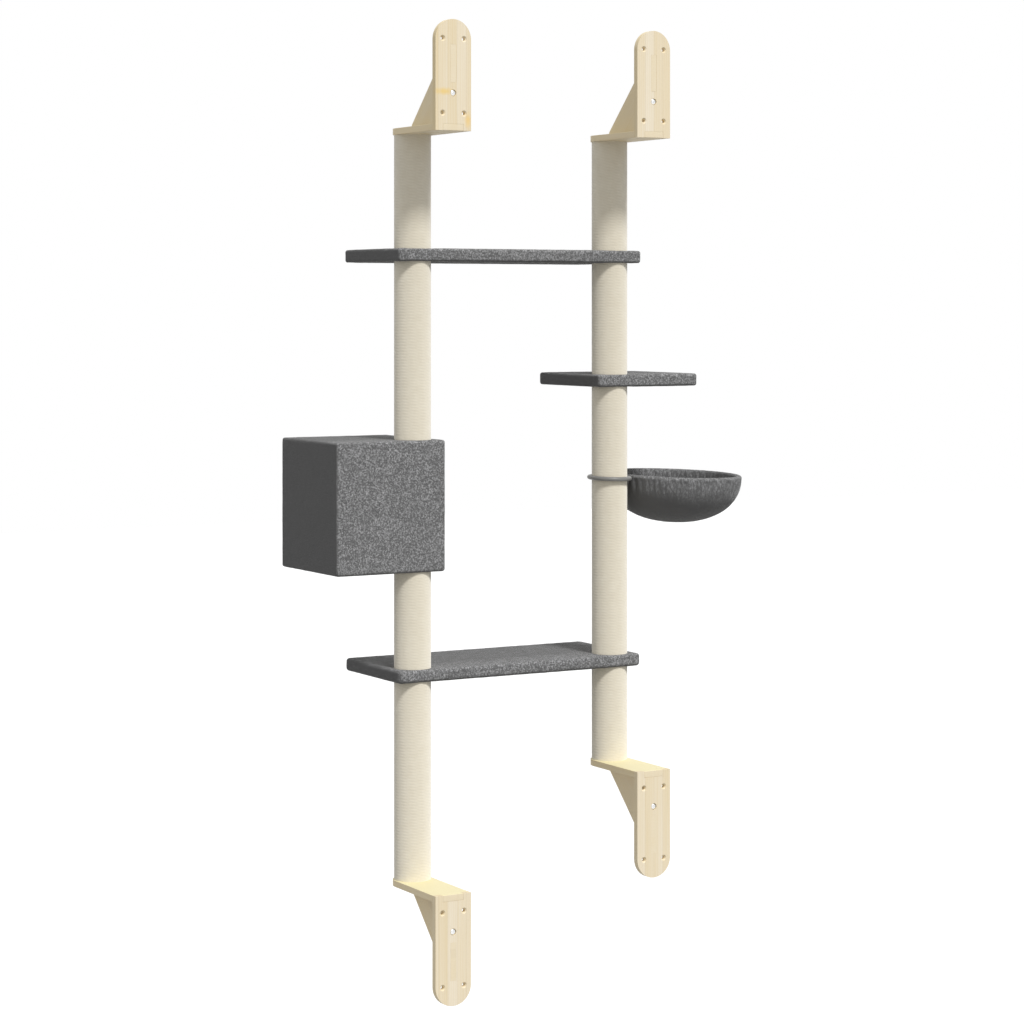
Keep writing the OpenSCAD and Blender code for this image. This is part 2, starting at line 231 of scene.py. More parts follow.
def ramp(tree, value, start, end, low=0.0, high=1.0):
    """A value that goes from low to high as another goes from start to end."""
    return put(tree, "ShaderNodeMapRange", {"Value": value, "From Min": start, "From Max": end,
                                            "To Min": low, "To Max": high}).outputs[0]


def own_place(tree):
    """The point in the piece's own coordinates."""
    return put(tree, "ShaderNodeTexCoord").outputs["Object"]


def axes_of(tree, vector):
    """The three parts of a vector."""
    return put(tree, "ShaderNodeSeparateXYZ", {0: vector}).outputs


def cloudy(tree, vector, scale, detail=2.0, roughness=0.5):
    """Smooth random values of about 0.5, with features of 1 / scale metres."""
    return put(tree, "ShaderNodeTexNoise",
               {"Vector": vector, "Scale": scale, "Detail": detail, "Roughness": roughness}).outputs[0]


def raised(tree, shader, height, distance, strength):
    """Lets a height from 0 to 1 stand up to distance proud in the light."""
    bump = put(tree, "ShaderNodeBump", {"Height": height, "Distance": distance, "Strength": strength})
    tree.links.new(bump.outputs[0], shader.inputs["Normal"])


def eased_copy(node_name, finish):
    """A CAD piece with its triangles merged and its sharp edges sanded round."""
    work = bmesh.new()
    work.from_mesh(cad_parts[node_name].data)
    bmesh.ops.remove_doubles(work, verts=work.verts, dist=merge_reach)
    bmesh.ops.dissolve_limit(work, angle_limit=flat_within, verts=work.verts, edges=work.edges)
    sharp = [edge for edge in work.edges
             if len(edge.link_faces) == 2 and edge.calc_face_angle() > sharp_from]
    bmesh.ops.bevel(work, geom=sharp, offset=edge_ease, segments=2, profile=0.5, affect="EDGES",
                    clamp_overlap=True, material=-1)
    for face in work.faces:
        face.smooth = True
    made = piece_from(work, node_name + "_eased", finish)
    made.modifiers.new("even_faces", "WEIGHTED_NORMAL")
    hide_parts(node_name)
    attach(made, "root")
    return made


def resin_stained(tree, place, colour, streaks):
    """The colour with stains of resin, each given by its centre, reach, colour and depth."""
    for centre, reach, tint, depth in streaks:
        away = vectors(tree, "DIVIDE", vectors(tree, "SUBTRACT", place, centre), reach)
        far = put(tree, "ShaderNodeVectorMath", {0: away}, operation="LENGTH").outputs[1]
        ragged = sums(tree, "MULTIPLY", cloudy(tree, place, streak_scale), streak_ragged)
        stain = ramp(tree, sums(tree, "ADD", far, ragged), streak_full, streak_gone, depth, 0.0)
        colour = mixed(tree, stain, colour, tint)
    return colour


def pine_finish(name, grain_turn, seed, streaks=(), strip=strip_width, upward=0.0, planed_end=0.0):
    """Planed pine in glued strips. The turn lays the grain along the texture's own Z, upward is how
    far faces that look up are painted paler and yellower as painted top light, and planed_end evens the tone
    of a tenon's end."""
    material, tree, shader = blank_finish(name, pine_roughness)
    place = own_place(tree)
    board = put(tree, "ShaderNodeMapping",
                {"Vector": place, "Rotation": grain_turn,
                 "Location": (first_joint, cut_deeper * seed, cut_higher * seed)}).outputs[0]
    wander = sums(tree, "MULTIPLY", cloudy(tree, board, wander_scale), wander_reach)
    across = sums(tree, "DIVIDE", sums(tree, "ADD", axes_of(tree, board)[0], wander), strip)
    number = sums(tree, "ADD", sums(tree, "FLOOR", across), strips_apart * seed)
    tone = put(tree, "ShaderNodeTexWhiteNoise", {"W": number}, noise_dimensions="1D").outputs[0]
    shifted = put(tree, "ShaderNodeCombineXYZ", {0: sums(tree, "MULTIPLY", tone, strip_shift)}).outputs[0]
    grain = vectors(tree, "ADD", vectors(tree, "MULTIPLY", board, grain_stretch), shifted)
    rings = put(tree, "ShaderNodeTexWave",
                {"Vector": grain, "Scale": ring_scale, "Distortion": ring_sway, "Detail": 2.0,
                 "Detail Scale": 1.5}, bands_direction="X", wave_profile="SAW").outputs[1]
    fibre = cloudy(tree, grain, fibre_scale, 3.0, 0.7)
    blotch = sums(tree, "SUBTRACT", cloudy(tree, grain, blotch_scale), blotch_middle)
    warmth = sums(tree, "ADD", sums(tree, "MULTIPLY", tone, tone_share),
                  sums(tree, "MULTIPLY", rings, ring_share))
    warmth = sums(tree, "ADD", warmth, sums(tree, "MULTIPLY", blotch, blotch_share))
    colour = mixed(tree, warmth, pine_pale, pine_warm)
    colour = mixed(tree, sums(tree, "MULTIPLY", fibre, fibre_share), colour, pine_fibre)
    joint = sums(tree, "LESS_THAN", sums(tree, "FRACT", across), joint_width)
    colour = mixed(tree, sums(tree, "MULTIPLY", joint, joint_depth), colour, pine_joint)
    colour = resin_stained(tree, place, colour, streaks)
    facing = put(tree, "ShaderNodeNewGeometry").outputs["Normal"]
    outward, level = axes_of(tree, facing)[1:3]
    # Faces that look up are painted paler and yellower: painted top light.
    colour = mixed(tree, ramp(tree, level, top_light_from, top_light_full, 0.0, upward), colour, pine_top_light)
    outward = sums(tree, "ABSOLUTE", outward)
    # Faces that look neither to the wall nor to the room are tinted darker and warmer: painted shade.
    aside = sums(tree, "MULTIPLY", sums(tree, "SUBTRACT", 1.0, outward), side_shade_share)
    colour = mixed(tree, aside, colour, pine_side_shade)
    planed = ramp(tree, outward, planed_from, planed_full, 0.0, planed_end)
    colour = mixed(tree, planed, colour, pine_planed)
    tree.links.new(colour, shader.inputs["Base Color"])
    height = sums(tree, "SUBTRACT", sums(tree, "MULTIPLY", fibre, fibre_height), joint)
    raised(tree, shader, height, pine_relief, strength=0.5)
    return material


resin_streak = ((-0.021, 0.0, 1.690), (0.026, 0.02, 0.009), paint(240, 202, 100), 0.65)
resin_corner = ((0.033, 0.0, 1.634), (0.010, 0.02, 0.020), paint(243, 204, 118), 0.65)
for index, corner in enumerate(corner_names):
    streaks = (resin_streak, resin_corner) if corner == "upper_left" else ()
    finish = pine_finish(corner + "_plate_pine", (0, 0, 0), plate_seed + index, streaks)
    eased_copy(corner + "_wall_plate", finish)


# Arms
# Four pine boards, tenoned flush through the wall plates, with a round end that carries a post.
# Their grain runs out from the wall, and their upper faces are painted paler and yellower, as painted top
# light.
out_from_wall = (math.radians(90), 0, 0)
arm_seed = 6
arm_top_lit = 0.8
arm_end_planed = 0.7
for index, corner in enumerate(corner_names):
    finish = pine_finish(corner + "_arm_pine", out_from_wall, arm_seed + index, upward=arm_top_lit,
                         planed_end=arm_end_planed)
    eased_copy(corner + "_arm", finish)


# Gussets
# Four triangular pine braces at 45 degrees between arm and plate, each sawn from one board with
# the grain along its long edge. Each has a tenon through the plate and is drawn up by one screw.
one_board = 0.5
gusset_seed = 11
gusset_end_planed = 0.75
for index, corner in enumerate(corner_names):
    lean = math.radians(135 if corner.startswith("upper") else 45)
    finish = pine_finish(corner + "_gusset_pine", (lean, 0, math.radians(90)), gusset_seed + index,
                         strip=one_board, planed_end=gusset_end_planed)
    eased_copy(corner + "_gusset", finish)


# Gusset screws and post bolts
# Four pan head wood screws with a cross recess, and four countersunk socket bolts that hold
# the posts on the arms, all of bright zinc plated steel.
screw_seat = 0.0035
screw_rim = 0.0001
screw_spread = 0.075
screw_lift = 0.0005
screw_flatness = 0.4
screw_recess = 0.0038
screw_drop = 0.074
zinc_stain_scale = 260.0
zinc_grain_scale = 1800.0
zinc_roughness = 0.28
zinc_smoothest = 0.2
zinc_roughest = 0.42
zinc_relief = 0.00004
zinc_pale = paint(240, 240, 238)
zinc_dull = paint(220, 221, 222)
screw_axles = []
for corner in corner_names:
    low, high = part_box(corner + "_wall_plate")
    square_end = low.z + screw_drop if corner.startswith("upper") else high.z - screw_drop
    screw_axles.append(Vector(((low.x + high.x) / 2, square_end)))


def plated_finish():
    """Bright zinc plating, a little stained and brushed."""
    material, tree, shader = blank_finish("bright_zinc", zinc_roughness)
    shader.inputs["Metallic"].default_value = 1.0
    place = own_place(tree)
    stain = cloudy(tree, place, zinc_stain_scale, 3.0)
    tree.links.new(mixed(tree, stain, zinc_pale, zinc_dull), shader.inputs["Base Color"])
    tree.links.new(between(tree, stain, zinc_smoothest, zinc_roughest), shader.inputs["Roughness"])
    raised(tree, shader, cloudy(tree, place, zinc_grain_scale), zinc_relief, strength=0.6)
    return material


zinc = plated_finish()


def refinish(node_name, finish):
    """Gives a CAD piece that stays as it is its finish."""
    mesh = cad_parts[node_name].data
    mesh.materials.clear()
    mesh.materials.append(finish)


def screws_driven_home():
    """The gusset screws, with flat heads that fill their seats and stand flush with the plates."""
    work = bmesh.new()
    work.from_mesh(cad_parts["gusset_screws"].data)
    for vert in work.verts:
        if vert.co.y < screw_seat - screw_rim:
            axle = min(screw_axles, key=lambda spot: (spot - vert.co.xz).length)
            reach = vert.co.xz - axle
            if reach.length > screw_recess:
                vert.co.y -= (vert.co.y - screw_lift) * screw_flatness
            vert.co.x += reach.x * screw_spread
            vert.co.z += reach.y * screw_spread
            vert.co.y -= screw_lift
    made = piece_from(work, "gusset_screws_home", zinc)
    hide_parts("gusset_screws")
    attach(made, "root")


refinish("post_bolts", zinc)
screws_driven_home()


# Core tubes
# Eight spirally wound cardboard tubes, one in each section of the two posts, hidden under
# the rope. The winding's seam climbs round the tube.
section_names = ("head", "high", "low", "foot")
seam_climb = 0.11
seam_width = 0.012
seam_share = 0.6
kraft_mottle_scale = 300.0
kraft_grain_scale = 900.0
kraft_roughness = 0.85
kraft_relief = 0.0002
kraft_pale = paint(196, 164, 122)
kraft_dark = paint(158, 124, 84)
kraft_seam = paint(110, 84, 56)


def cardboard_finish(name, axis):
    """Brown kraft board, with the seam of its winding round the tube's axis."""
    material, tree, shader = blank_finish(name, kraft_roughness)
    place = own_place(tree)
    parts = axes_of(tree, vectors(tree, "SUBTRACT", place, axis))
    turn = sums(tree, "DIVIDE", sums(tree, "ARCTAN2", parts[1], parts[0]), 2 * math.pi)
    climb = sums(tree, "FRACT", sums(tree, "SUBTRACT", sums(tree, "DIVIDE", parts[2], seam_climb), turn))
    seam = sums(tree, "LESS_THAN", climb, seam_width)
    colour = mixed(tree, cloudy(tree, place, kraft_mottle_scale, 4.0), kraft_pale, kraft_dark)
    colour = mixed(tree, sums(tree, "MULTIPLY", seam, seam_share), colour, kraft_seam)
    tree.links.new(colour, shader.inputs["Base Color"])
    height = sums(tree, "SUBTRACT", cloudy(tree, place, kraft_grain_scale), seam)
    raised(tree, shader, height, kraft_relief, strength=0.5)
    return material


post_axes = {}
for side in ("left", "right"):
    low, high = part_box(side + "_foot_rope")
    post_axes[side] = Vector(((low.x + high.x) / 2, (low.y + high.y) / 2, 0))
    kraft = cardboard_finish(side + "_kraft", post_axes[side])
    for part in section_names:
        refinish(side + "_" + part + "_core", kraft)


# End plugs, shelf boards and house panels
# Pressed board: sixteen round plugs in the ends of the tubes, three shelf boards and the six
# panels of the house, which are seen through its door. The studs, bolts and washers that
# join them are zinc plated.
flake_scale = 330.0
board_cloud_scale = 12.0
dark_flakes_from = 0.93
dark_share = 0.6
board_roughness = 0.8
board_relief = 0.0004
flake_pale = paint(222, 200, 162)
flake_brown = paint(186, 156, 112)
flake_dark = paint(120, 92, 60)
board_tone = paint(210, 184, 142)


def pressed_board_finish():
    """Pale flakes pressed into a board, with a few dark ones."""
    material, tree, shader = blank_finish("pressed_board", board_roughness)
    place = own_place(tree)
    flakes = put(tree, "ShaderNodeTexVoronoi", {"Vector": place, "Scale": flake_scale}, feature="F1")
    flake = put(tree, "ShaderNodeSeparateColor", {0: flakes.outputs["Color"]}).outputs[0]
    colour = mixed(tree, flake, flake_pale, flake_brown)
    colour = mixed(tree, cloudy(tree, place, board_cloud_scale), colour, board_tone)
    dark = sums(tree, "GREATER_THAN", flake, dark_flakes_from)
    colour = mixed(tree, sums(tree, "MULTIPLY", dark, dark_share), colour, flake_dark)
    tree.links.new(colour, shader.inputs["Base Color"])
    raised(tree, shader, flakes.outputs["Distance"], board_relief, strength=0.4)
    return material


pressed_board = pressed_board_finish()
panel_names = ["house_" + part + "_panel" for part in ("wall", "front", "left", "right", "top", "bottom")]
for node_name in ("left_post_plugs", "right_post_plugs", "top_shelf_board", "small_shelf_board",
                  "lower_shelf_board", *panel_names):
    refinish(node_name, pressed_board)
for node_name in ("shelf_studs", "house_bolts", "house_washers"):
    refinish(node_name, zinc)


# Sisal rope
# Eight lengths of 6 mm three-strand rope, one wound and glued on each core tube, turn on turn.
# The first and the last turn lie flat against what the section stands between.
rope_pitch = 0.006
rope_half_depth = 0.0025
rope_overlap = 0.0005
rope_squareness = 0.25
rope_sides = 12
steps_a_turn = 48
flat_turn = math.radians(350)
strand_count = 3.0
strand_lay = 0.0183
hair_scale = 1100.0
hair_stretch = (1.0, 0.02, 1.0)
hair_share = 0.2
groove_shade_share = 0.08
hair_height = 0.6
mottle_scale = 70.0
sisal_roughness = 0.85
sisal_relief = 0.0002
sisal_pale = paint(243, 238, 224)
sisal_dull = paint(233, 226, 209)
sisal_hair = paint(200, 188, 160)
# Painted shade, for the grooves between the strands.
sisal_groove_shade = paint(180, 168, 142)


def sisal_finish():
    """Three twisted strands of pale, matt sisal, on a map that runs along the rope and round it."""
    material, tree, shader = blank_finish("wound_sisal", sisal_roughness)
    place = own_place(tree)
    lay = put(tree, "ShaderNodeUVMap", uv_map="rope").outputs[0]
    parts = axes_of(tree, lay)
    twist = sums(tree, "ADD", sums(tree, "DIVIDE", parts[0], strand_lay),
                 sums(tree, "MULTIPLY", parts[1], strand_count))
    strand = sums(tree, "MULTIPLY", sums(tree, "PINGPONG", twist, 0.5), 2.0)
    hair = cloudy(tree, vectors(tree, "MULTIPLY", lay, hair_stretch), hair_scale, 3.0, 0.7)
    mottle = cloudy(tree, place, mottle_scale, 4.0, 0.6)
    colour = mixed(tree, mottle, sisal_pale, sisal_dull)
    colour = mixed(tree, sums(tree, "MULTIPLY", hair, hair_share), colour, sisal_hair)
    # The lines between the strands are painted darker: painted shade in the grooves.
    groove_shade = sums(tree, "POWER", sums(tree, "SUBTRACT", 1.0, strand), 3.0)
    colour = mixed(tree, sums(tree, "MULTIPLY", groove_shade, groove_shade_share), colour, sisal_groove_shade)
    tree.links.new(colour, shader.inputs["Base Color"])
    shader.inputs["Diffuse Roughness"].default_value = 1.0
    shader.inputs["Sheen Weight"].default_value = 0.45
    shader.inputs["Sheen Roughness"].default_value = 0.5
    shader.inputs["Specular IOR Level"].default_value = 0.25
    height = sums(tree, "ADD", strand, sums(tree, "MULTIPLY", hair, hair_height))
    raised(tree, shader, height, sisal_relief, strength=0.5)
    return material


sisal = sisal_finish()


def rope_section(work, place):
    """The edges of one section across the rope, pressed flat against the turns beside it."""
    verts = bmesh.ops.create_circle(work, segments=rope_sides, radius=1)["verts"]
    for vert in verts:
        for axis in (0, 1):
            vert.co[axis] = math.copysign(abs(vert.co[axis]) ** rope_squareness, vert.co[axis])
    bmesh.ops.transform(work, matrix=place, verts=verts)
    return list({edge for vert in verts for edge in vert.link_edges})


def stack_turns(work, turns, rise):
    """Repeats turns of the helix higher up the post."""
    copy = bmesh.ops.duplicate(work, geom=turns)["geom"]
    verts = [part for part in copy if isinstance(part, bmesh.types.BMVert)]
    bmesh.ops.translate(work, verts=verts, vec=(0, 0, rise))


def lay_rope_map(work, centre, radius, foot, pitch):
    """Gives the rope its own map: metres along it, and turns round its section."""
    layer = work.loops.layers.uv.new("rope")
    for face in work.faces:
        middle = face.calc_center_median() - centre
        bearing = math.atan2(middle.y, middle.x) / (2 * math.pi)
        height = (middle.z - foot) / pitch
        whole = round(height - bearing)
        level = pitch * (whole + bearing)
        around = math.atan2(middle.z - foot - level, middle.xy.length - radius) / (2 * math.pi)
        for loop in face.loops:
            spot = loop.vert.co - centre
            turn = math.atan2(spot.y, spot.x) / (2 * math.pi)
            turn += round(bearing - turn)
            spot_level = pitch * (whole + turn)
            side = math.atan2(spot.z - foot - spot_level, spot.xy.length - radius) / (2 * math.pi)
            side += round(around - side)
            loop[layer].uv = ((whole + turn) * 2 * math.pi * radius, side)


def wound_rope(node_name):
    """The rope of one section: one turn of the helix, repeated up the post, and a flat turn at
    each end."""
    low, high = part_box(node_name)
    centre = Vector(((low.x + high.x) / 2, (low.y + high.y) / 2, 0))
    radius = (high.x - low.x) / 2 - rope_half_depth
    turns = round((high.z - low.z) / rope_pitch) - 1
    pitch = (high.z - low.z) / (turns + 1)
    half_height = pitch / 2
    work = bmesh.new()
    on_core = Matrix.Translation(centre + Vector((radius, 0, low.z + half_height))) \
        @ Matrix.Rotation(math.pi / 2, 4, "X") \
        @ Matrix.Diagonal((rope_half_depth, half_height + rope_overlap, 1, 1))
    bmesh.ops.spin(work, geom=rope_section(work, on_core), cent=centre, axis=(0, 0, 1), angle=2 * math.pi,
                   steps=steps_a_turn, dvec=(0, 0, pitch / steps_a_turn))
    one_turn = work.verts[:] + work.edges[:] + work.faces[:]
    placed = 1
    # Each further binary digit of the number of turns doubles the stack, and a 1 adds one turn.
    for digit in bin(turns)[3:]:
        stack_turns(work, work.verts[:] + work.edges[:] + work.faces[:], pitch * placed)
        placed *= 2
        if digit == "1":
            stack_turns(work, one_turn, pitch * placed)
            placed += 1
    for level, way in ((0.0, -1), (pitch * turns, 1)):
        start = rope_section(work, Matrix.Translation((0, 0, level)) @ on_core)
        end = bmesh.ops.spin(work, geom=start, cent=centre, axis=(0, 0, 1), angle=way * flat_turn,
                             steps=steps_a_turn)["geom_last"]
        rope_end = [part for part in end if isinstance(part, bmesh.types.BMEdge)]
        bmesh.ops.contextual_create(work, geom=rope_end)
    bmesh.ops.remove_doubles(work, verts=work.verts, dist=merge_reach)
    bmesh.ops.recalc_face_normals(work, faces=work.faces)
    lay_rope_map(work, centre, radius, low.z + half_height, pitch)
    for face in work.faces:
        face.smooth = len(face.verts) == 4
    made = piece_from(work, node_name + "_wound", sisal)
    made.modifiers.new("flat_turns", "WEIGHTED_NORMAL")
    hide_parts(node_name)
    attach(made, "root")


for side in ("left", "right"):
    for part in section_names:
        wound_rope(side + "_" + part + "_rope")


# Shelves
# Three boards wrapped in short pile plush over a thin pad, drawn tight and stapled. The pad
# swells a little between the edges and the posts, whose ends press it down.
plush_step = 0.006
cut_reach = 1e-5
skin_from = 0.3
pad_swell = 0.0012
pad_reach = 0.018
press_reach = 0.010
press_depth = 0.0004
plush_uneven = 0.0005
tight_corner = 0.008
tight_edge = 0.0045
slack_corner = 0.014
slack_edge = 0.006
tuft_scale = 290.0
tuft_share = 0.72
plush_fibre_scale = 1500.0
wave_scale = 90.0
wave_share = 0.25
glint_patch_scale = 45.0
glint_patch_share = 0.7
glint_towards_wall = 0.92
glint_upward = 0.55
glint_none_below = 0.25
glint_full_above = 1.0
glint_pile_from = 0.46
glint_pile_full = 0.70
edge_glint_full = 0.135
edge_glint_end = 0.215
edge_glint_share = 0.7
pile_height = 0.002
plush_roughness = 0.9
plush_ground = paint(98, 98, 98)
# The pale fleck colour below is painted highlight.
plush_glint = paint(200, 200, 201)
brushed_evenly = (1, 1, 1)
uneven_scale = 160
uneven_apart = Vector((3.1, 1.7, 0))


def plush_finish(name, ground, glint_colour, brushing):
    """Short dense pile, with pale flecks painted on the faces that look to the wall or the room,
    fewer on top except along the wall side, and none on the ends or underneath: painted glints of
    the lamp. Brushing draws the tufts out along an axis where it is less than 1."""
    material, tree, shader = blank_finish(name, plush_roughness)
    place = own_place(tree)
    brushed_place = vectors(tree, "MULTIPLY", place, brushing)
    tufts = cloudy(tree, brushed_place, tuft_scale, 3.0, 0.75)
    fibres = cloudy(tree, brushed_place, plush_fibre_scale, 2.0, 0.7)
    pile = sums(tree, "ADD", sums(tree, "MULTIPLY", tufts, tuft_share),
                sums(tree, "MULTIPLY", fibres, 1 - tuft_share))
    waves = cloudy(tree, place, wave_scale, 2.0)
    facing = axes_of(tree, put(tree, "ShaderNodeNewGeometry").outputs["Normal"])
    # Painted glints: the share of pale flecks follows which way the face looks, in random patches.
    glint_facing = sums(tree, "ADD", sums(tree, "MULTIPLY", sums(tree, "ABSOLUTE", facing[1]), glint_towards_wall),
               sums(tree, "MULTIPLY", facing[2], glint_upward))
    glint_patches = sums(tree, "SUBTRACT", cloudy(tree, place, glint_patch_scale), 0.5)
    glint_facing = sums(tree, "ADD", glint_facing, sums(tree, "MULTIPLY", glint_patches, glint_patch_share))
    # Tops get more painted glints towards their wall-side edge: painted highlight.
    edge_glint = ramp(tree, axes_of(tree, place)[1], edge_glint_full, edge_glint_end, edge_glint_share, 0.0)
    edge_glint = sums(tree, "MULTIPLY", edge_glint, sums(tree, "MAXIMUM", facing[2], 0.0))
    glint_facing = sums(tree, "ADD", glint_facing, edge_glint)
    painted_glint = sums(tree, "MULTIPLY", ramp(tree, pile, glint_pile_from, glint_pile_full),
                 ramp(tree, glint_facing, glint_none_below, glint_full_above))
    tree.links.new(mixed(tree, painted_glint, ground, glint_colour), shader.inputs["Base Color"])
    shader.inputs["Specular IOR Level"].default_value = 0.12
    shader.inputs["Sheen Weight"].default_value = 0.25
    shader.inputs["Sheen Roughness"].default_value = 0.22
    height = sums(tree, "ADD", pile, sums(tree, "MULTIPLY", waves, wave_share))
    raised(tree, shader, height, pile_height, strength=0.8)
    return material


plush = plush_finish("grey_plush", plush_ground, plush_glint, brushed_evenly)


def slice_evenly(work, step):
    """Cuts the mesh by even planes across X, Y and Z into faces of about one step."""
    for axis in range(3):
        ends = [vert.co[axis] for vert in work.verts]
        cuts = math.ceil((max(ends) - min(ends)) / step)
        for index in range(1, cuts):
            level = Vector()
            level[axis] = min(ends) + (max(ends) - min(ends)) * index / cuts
            facing = Vector()
            facing[axis] = 1
            bmesh.ops.bisect_plane(work, geom=work.verts[:] + work.edges[:] + work.faces[:], dist=cut_reach,
                                   plane_co=level, plane_no=facing)


def rough_pile(work, seed, amount):
    """Lets the pile stand unevenly by a fraction of a millimetre."""
    work.normal_update()
    for vert in work.verts:
        spot = vert.co * uneven_scale + uneven_apart * seed
        vert.co += vert.normal * amount * noise.noise(spot)


def soften(made):
    """Smooths a plush skin once more, at the same level in the viewport and in the render."""
    smooth = made.modifiers.new("soft", "SUBSURF")
    smooth.levels = 1
    smooth.render_levels = 1


def plush_shelf(node_name, sides, shelf_corner, shelf_edge, seed):
    """A wrapped shelf. The sides are the posts that press on it, and the corners and the edges
    are as round as the plush is drawn over them."""
    low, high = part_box(node_name)
    work = bmesh.new()
    size = high - low
    bmesh.ops.create_cube(work, size=1, matrix=Matrix.Translation((low + high) / 2)
                          @ Matrix.Diagonal((size.x, size.y, size.z, 1)))
    corners = [edge for edge in work.edges if abs(edge.verts[0].co.z - edge.verts[1].co.z) > size.z / 2]
    bmesh.ops.bevel(work, geom=corners, offset=shelf_corner, segments=5, profile=0.5, affect="EDGES",
                    clamp_overlap=True, material=-1)
    rims = [edge for edge in work.edges if abs(edge.verts[0].co.z - edge.verts[1].co.z) < size.z / 2]
    bmesh.ops.bevel(work, geom=rims, offset=shelf_edge, segments=4, profile=0.5, affect="EDGES",
                    clamp_overlap=True, material=-1)
    slice_evenly(work, plush_step)
    middle = (low.z + high.z) / 2
    post_radius = (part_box("left_foot_rope")[1].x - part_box("left_foot_rope")[0].x) / 2
    for vert in work.verts:
        edge_room = min(vert.co.x - low.x, high.x - vert.co.x, vert.co.y - low.y, high.y - vert.co.y)
        swell = pad_swell * min(1.0, edge_room / pad_reach)
        for side in sides:
            past_post = (vert.co - post_axes[side]).xy.length - post_radius
            swell *= min(1.0, max(0.0, past_post / press_reach)) ** 0.5
            if past_post < 0:
                swell = -press_depth
        if abs(vert.co.z - middle) > size.z * skin_from:
            vert.co.z += swell if vert.co.z > middle else -swell
    rough_pile(work, seed, plush_uneven)
    for face in work.faces:
        face.smooth = True
    made = piece_from(work, node_name + "_wrap", plush)
    soften(made)
    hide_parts(node_name)
    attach(made, "root")


plush_shelf("top_shelf_plush", ("left", "right"), tight_corner, tight_edge, seed=1)
plush_shelf("small_shelf_plush", ("right",), tight_corner, tight_edge, seed=2)
plush_shelf("lower_shelf_plush", ("left", "right"), slack_corner, slack_edge, seed=3)


# House
# The plush cover of the box, glued to the panels and folded in round the door on the side
# that faces the room, with its own thickness.
door_radius = 0.085
door_points = 80
house_edge = 0.0055
house_seed = 4
cover_thickness = 0.0022
cover_step = 0.0095
door_roll = ((0.0, 0.0), (-0.0012, -0.0008), (-0.0022, -0.0028), (-0.0026, -0.0055), (-0.0026, -0.0135),
             (-0.0016, -0.0160))


def house_cover(node_name):
    """The box's skin: the room side is opened to a round door, whose rim is rolled inwards."""
    low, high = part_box(node_name)
    size = high - low
    work = bmesh.new()
    bmesh.ops.create_cube(work, size=1, matrix=Matrix.Translation((low + high) / 2)
                          @ Matrix.Diagonal((size.x, size.y, size.z, 1)))
    bmesh.ops.bevel(work, geom=work.edges[:], offset=house_edge, segments=4, profile=0.5, affect="EDGES",
                    clamp_overlap=True, material=-1)
    front = max(work.faces, key=lambda face: face.calc_center_median().y)
    frame_edges = front.edges[:]
    bmesh.ops.delete(work, geom=[front], context="FACES_ONLY")
    bmesh.ops.subdivide_edges(work, edges=frame_edges, cuts=door_points // 4 - 1)
    border = [edge for edge in work.edges if edge.is_boundary]
    middle = Vector(((low.x + high.x) / 2, high.y, (low.z + high.z) / 2))
    round_door = bmesh.ops.extrude_edge_only(work, edges=border)["geom"]
    for vert in [part for part in round_door if isinstance(part, bmesh.types.BMVert)]:
        vert.co = middle + (vert.co - middle).normalized() * door_radius
    slice_evenly(work, cover_step)
    rim = [edge for edge in work.edges if edge.is_boundary]
    before = door_roll[0]
    for step in door_roll[1:]:
        rolled = bmesh.ops.extrude_edge_only(work, edges=rim)["geom"]
        verts = [part for part in rolled if isinstance(part, bmesh.types.BMVert)]
        for vert in verts:
            spoke = vert.co - middle
            spoke.y = 0
            vert.co += spoke.normalized() * (step[0] - before[0])
            vert.co.y += step[1] - before[1]
        rim = [part for part in rolled if isinstance(part, bmesh.types.BMEdge)]
        before = step
    bmesh.ops.remove_doubles(work, verts=work.verts, dist=merge_reach)
    bmesh.ops.recalc_face_normals(work, faces=work.faces)
    outside = max(work.faces, key=lambda face: -face.calc_center_median().y)
    if outside.normal.y > 0:
        bmesh.ops.reverse_faces(work, faces=work.faces)
    rough_pile(work, house_seed, plush_uneven)
    for face in work.faces:
        face.smooth = True
    made = piece_from(work, node_name + "_cover", plush)
    soften(made)
    wall = made.modifiers.new("cloth", "SOLIDIFY")
    wall.thickness = cover_thickness
    wall.offset = -1
    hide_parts(node_name)
    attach(made, "root")


house_cover("house_plush")


# Hammock ring
# The hoop of the hammock and the eye that rides on the post, bent from 9 mm steel rod,
# welded together and coated dark grey.
coating_patch_scale = 40.0
coating_grain_scale = 1500.0
coating_roughness = 0.42
coating_smoothest = 0.34
coating_roughest = 0.5
coating_relief = 0.00012
coating_pale = paint(132, 131, 128)
coating_dark = paint(114, 113, 110)


def coated_finish():
    """A dark powder coating with a fine grain."""
    material, tree, shader = blank_finish("dark_coating", coating_roughness)
    place = own_place(tree)
    grain = cloudy(tree, place, coating_grain_scale, 2.0)
    patches = cloudy(tree, place, coating_patch_scale)
    tree.links.new(mixed(tree, patches, coating_pale, coating_dark), shader.inputs["Base Color"])
    tree.links.new(between(tree, grain, coating_smoothest, coating_roughest), shader.inputs["Roughness"])
    raised(tree, shader, grain, coating_relief, strength=0.5)
    return material


dark_coating = coated_finish()
for node_name in ("hammock_hoop", "hammock_eye"):
    refinish(node_name, dark_coating)


